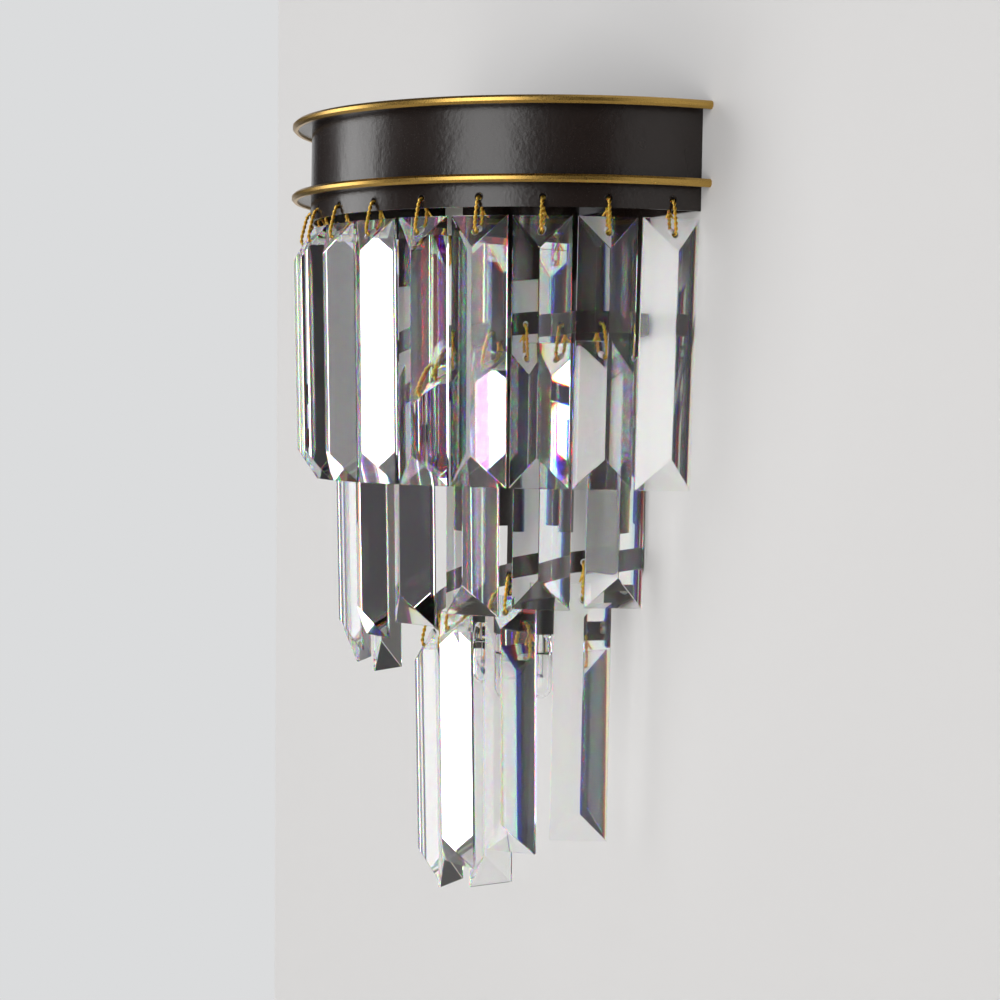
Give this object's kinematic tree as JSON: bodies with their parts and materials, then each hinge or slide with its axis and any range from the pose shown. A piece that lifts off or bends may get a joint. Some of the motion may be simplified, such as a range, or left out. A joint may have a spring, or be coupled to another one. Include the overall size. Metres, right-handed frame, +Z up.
{
  "type": "crystal wall sconce",
  "caption": "Half round wall sconce: black drum with gold edging, faceted glass prisms on wire loops in three tiers, the lower two on sloping half rings, with capsule lamps inside",
  "frame": {"origin": "on the wall, midway between the two wall screws, 20 mm below the top of the canopy", "axes": "+Z up, -Y out of the wall into the room, +X to the right for someone facing the wall"},
  "size_m": [0.23, 0.1151, 0.3162],
  "materials": {
    "black_metal": "satin",
    "gold_metal": "satin",
    "crystal_glass": "polished",
    "lamp_glass": "polished",
    "black_plastic": "matte",
    "white_plastic": "matte",
    "lead_cover": "matte",
    "bare_steel": "brushed",
    "brass": "satin"
  },
  "bodies": {
    "fixture": {"back_plate": "black_metal", "band_screws": "bare_steel", "bracket_screws": "bare_steel", "drum_band": "black_metal", "earth_screw": "brass", "lamp_bracket": "bare_steel", "lamp_capsule_left": "lamp_glass", "lamp_capsule_right": "lamp_glass", "lamp_holder_left": "black_plastic", "lamp_holder_right": "black_plastic", "lamp_leads": "lead_cover", "lamp_pins": "bare_steel", "lamp_tube_left": "black_metal", "lamp_tube_right": "black_metal", "lower_flange": "black_metal", "lower_trim": "gold_metal", "plate_screws": "bare_steel", "terminal_block": "white_plastic", "tier_one_links": "gold_metal", "tier_three_band": "black_metal", "tier_three_links": "gold_metal", "tier_two_band": "black_metal", "tier_two_links": "gold_metal", "top_plate": "black_metal", "top_screws": "black_metal", "top_trim": "gold_metal", "tube_nuts": "brass", "wall_bar": "bare_steel"},
    "tier_one_crystal_01": {"tier_one_crystal_01": "crystal_glass"},
    "tier_one_crystal_02": {"tier_one_crystal_02": "crystal_glass"},
    "tier_one_crystal_03": {"tier_one_crystal_03": "crystal_glass"},
    "tier_one_crystal_04": {"tier_one_crystal_04": "crystal_glass"},
    "tier_one_crystal_05": {"tier_one_crystal_05": "crystal_glass"},
    "tier_one_crystal_06": {"tier_one_crystal_06": "crystal_glass"},
    "tier_one_crystal_07": {"tier_one_crystal_07": "crystal_glass"},
    "tier_one_crystal_08": {"tier_one_crystal_08": "crystal_glass"},
    "tier_one_crystal_09": {"tier_one_crystal_09": "crystal_glass"},
    "tier_one_crystal_10": {"tier_one_crystal_10": "crystal_glass"},
    "tier_one_crystal_11": {"tier_one_crystal_11": "crystal_glass"},
    "tier_one_crystal_12": {"tier_one_crystal_12": "crystal_glass"},
    "tier_one_crystal_13": {"tier_one_crystal_13": "crystal_glass"},
    "tier_one_crystal_14": {"tier_one_crystal_14": "crystal_glass"},
    "tier_two_crystal_01": {"tier_two_crystal_01": "crystal_glass"},
    "tier_two_crystal_02": {"tier_two_crystal_02": "crystal_glass"},
    "tier_two_crystal_03": {"tier_two_crystal_03": "crystal_glass"},
    "tier_two_crystal_04": {"tier_two_crystal_04": "crystal_glass"},
    "tier_two_crystal_05": {"tier_two_crystal_05": "crystal_glass"},
    "tier_two_crystal_06": {"tier_two_crystal_06": "crystal_glass"},
    "tier_two_crystal_07": {"tier_two_crystal_07": "crystal_glass"},
    "tier_two_crystal_08": {"tier_two_crystal_08": "crystal_glass"},
    "tier_three_crystal_01": {"tier_three_crystal_01": "crystal_glass"},
    "tier_three_crystal_02": {"tier_three_crystal_02": "crystal_glass"},
    "tier_three_crystal_03": {"tier_three_crystal_03": "crystal_glass"},
    "tier_three_crystal_04": {"tier_three_crystal_04": "crystal_glass"},
    "tier_three_crystal_05": {"tier_three_crystal_05": "crystal_glass"},
    "tier_three_crystal_06": {"tier_three_crystal_06": "crystal_glass"}
  },
  "joints": [
    {"name": "tier_one_crystal_01_swing", "type": "hinge", "parent": "fixture", "child": "tier_one_crystal_01", "pos_m": [0.106, -0.01133, -0.0288], "axis": [-0.1063, -0.9943, 0], "range_deg": [-1.2, 8]},
    {"name": "tier_one_crystal_02_swing", "type": "hinge", "parent": "fixture", "child": "tier_one_crystal_02", "pos_m": [0.10079, -0.03471, -0.0288], "axis": [-0.3256, -0.9455, 0], "range_deg": [-1.2, 8]},
    {"name": "tier_one_crystal_03_swing", "type": "hinge", "parent": "fixture", "child": "tier_one_crystal_03", "pos_m": [0.0905, -0.05633, -0.0288], "axis": [-0.5284, -0.849, 0], "range_deg": [-1.2, 8]},
    {"name": "tier_one_crystal_04_swing", "type": "hinge", "parent": "fixture", "child": "tier_one_crystal_04", "pos_m": [0.07564, -0.07511, -0.0288], "axis": [-0.7046, -0.7096, 0], "range_deg": [-1.2, 8]},
    {"name": "tier_one_crystal_05_swing", "type": "hinge", "parent": "fixture", "child": "tier_one_crystal_05", "pos_m": [0.05696, -0.0901, -0.0288], "axis": [-0.8453, -0.5344, 0], "range_deg": [-1.2, 8]},
    {"name": "tier_one_crystal_06_swing", "type": "hinge", "parent": "fixture", "child": "tier_one_crystal_06", "pos_m": [0.03541, -0.10055, -0.0288], "axis": [-0.9432, -0.3322, 0], "range_deg": [-1.2, 8]},
    {"name": "tier_one_crystal_07_swing", "type": "hinge", "parent": "fixture", "child": "tier_one_crystal_07", "pos_m": [0.01207, -0.10591, -0.0288], "axis": [-0.9936, -0.1132, 0], "range_deg": [-1.2, 8]},
    {"name": "tier_one_crystal_08_swing", "type": "hinge", "parent": "fixture", "child": "tier_one_crystal_08", "pos_m": [-0.01188, -0.10594, -0.0288], "axis": [-0.9938, 0.1115, 0], "range_deg": [-1.2, 8]},
    {"name": "tier_one_crystal_09_swing", "type": "hinge", "parent": "fixture", "child": "tier_one_crystal_09", "pos_m": [-0.03523, -0.10061, -0.0288], "axis": [-0.9438, 0.3305, 0], "range_deg": [-1.2, 8]},
    {"name": "tier_one_crystal_10_swing", "type": "hinge", "parent": "fixture", "child": "tier_one_crystal_10", "pos_m": [-0.0568, -0.0902, -0.0288], "axis": [-0.8462, 0.5329, 0], "range_deg": [-1.2, 8]},
    {"name": "tier_one_crystal_11_swing", "type": "hinge", "parent": "fixture", "child": "tier_one_crystal_11", "pos_m": [-0.07551, -0.07525, -0.0288], "axis": [-0.7059, 0.7083, 0], "range_deg": [-1.2, 8]},
    {"name": "tier_one_crystal_12_swing", "type": "hinge", "parent": "fixture", "child": "tier_one_crystal_12", "pos_m": [-0.0904, -0.05649, -0.0288], "axis": [-0.5299, 0.848, 0], "range_deg": [-1.2, 8]},
    {"name": "tier_one_crystal_13_swing", "type": "hinge", "parent": "fixture", "child": "tier_one_crystal_13", "pos_m": [-0.10073, -0.03488, -0.0288], "axis": [-0.3272, 0.9449, 0], "range_deg": [-1.2, 8]},
    {"name": "tier_one_crystal_14_swing", "type": "hinge", "parent": "fixture", "child": "tier_one_crystal_14", "pos_m": [-0.10598, -0.01151, -0.0288], "axis": [-0.108, 0.9942, 0], "range_deg": [-1.2, 8]},
    {"name": "tier_two_crystal_01_swing", "type": "hinge", "parent": "fixture", "child": "tier_two_crystal_01", "pos_m": [0.08636, -0.02153, -0.07367], "axis": [-0.2419, -0.9703, 0], "range_deg": [-4, 4]},
    {"name": "tier_two_crystal_02_swing", "type": "hinge", "parent": "fixture", "child": "tier_two_crystal_02", "pos_m": [0.07523, -0.04756, -0.07469], "axis": [-0.5344, -0.8453, 0], "range_deg": [-4, 4]},
    {"name": "tier_two_crystal_03_swing", "type": "hinge", "parent": "fixture", "child": "tier_two_crystal_03", "pos_m": [0.05649, -0.06877, -0.07798], "axis": [-0.7727, -0.6347, 0], "range_deg": [-4, 4]},
    {"name": "tier_two_crystal_04_swing", "type": "hinge", "parent": "fixture", "child": "tier_two_crystal_04", "pos_m": [0.03204, -0.08303, -0.08322], "axis": [-0.933, -0.36, 0], "range_deg": [-4, 4]},
    {"name": "tier_two_crystal_05_swing", "type": "hinge", "parent": "fixture", "child": "tier_two_crystal_05", "pos_m": [0.00435, -0.08889, -0.08987], "axis": [-0.9988, -0.0488, 0], "range_deg": [-4, 4]},
    {"name": "tier_two_crystal_06_swing", "type": "hinge", "parent": "fixture", "child": "tier_two_crystal_06", "pos_m": [-0.02378, -0.08576, -0.09726], "axis": [-0.9636, 0.2672, 0], "range_deg": [-4, 4]},
    {"name": "tier_two_crystal_07_swing", "type": "hinge", "parent": "fixture", "child": "tier_two_crystal_07", "pos_m": [-0.04951, -0.07396, -0.10465], "axis": [-0.831, 0.5563, 0], "range_deg": [-4, 4]},
    {"name": "tier_two_crystal_08_swing", "type": "hinge", "parent": "fixture", "child": "tier_two_crystal_08", "pos_m": [-0.07023, -0.05467, -0.11128], "axis": [-0.6143, 0.7891, 0], "range_deg": [-4, 4]},
    {"name": "tier_three_crystal_01_swing", "type": "hinge", "parent": "fixture", "child": "tier_three_crystal_01", "pos_m": [0.0613, -0.02262, -0.16579], "axis": [-0.3907, -0.9205, 0], "range_deg": [-4, 4]},
    {"name": "tier_three_crystal_02_swing", "type": "hinge", "parent": "fixture", "child": "tier_three_crystal_02", "pos_m": [0.04381, -0.0455, -0.17161], "axis": [-0.7859, -0.6184, 0], "range_deg": [-4, 4]},
    {"name": "tier_three_crystal_03_swing", "type": "hinge", "parent": "fixture", "child": "tier_three_crystal_03", "pos_m": [0.01746, -0.05712, -0.18039], "axis": [-0.9866, -0.1633, 0], "range_deg": [-4, 4]},
    {"name": "tier_three_crystal_04_swing", "type": "hinge", "parent": "fixture", "child": "tier_three_crystal_04", "pos_m": [-0.01123, -0.05461, -0.18994], "axis": [-0.9432, 0.3322, 0], "range_deg": [-4, 4]},
    {"name": "tier_three_crystal_05_swing", "type": "hinge", "parent": "fixture", "child": "tier_three_crystal_05", "pos_m": [-0.03516, -0.03859, -0.19791], "axis": [-0.6665, 0.7455, 0], "range_deg": [-4, 4]},
    {"name": "tier_three_crystal_06_swing", "type": "hinge", "parent": "fixture", "child": "tier_three_crystal_06", "pos_m": [-0.04842, -0.01302, -0.20232], "axis": [-0.225, 0.9744, 0], "range_deg": [-4, 4]}
  ]
}
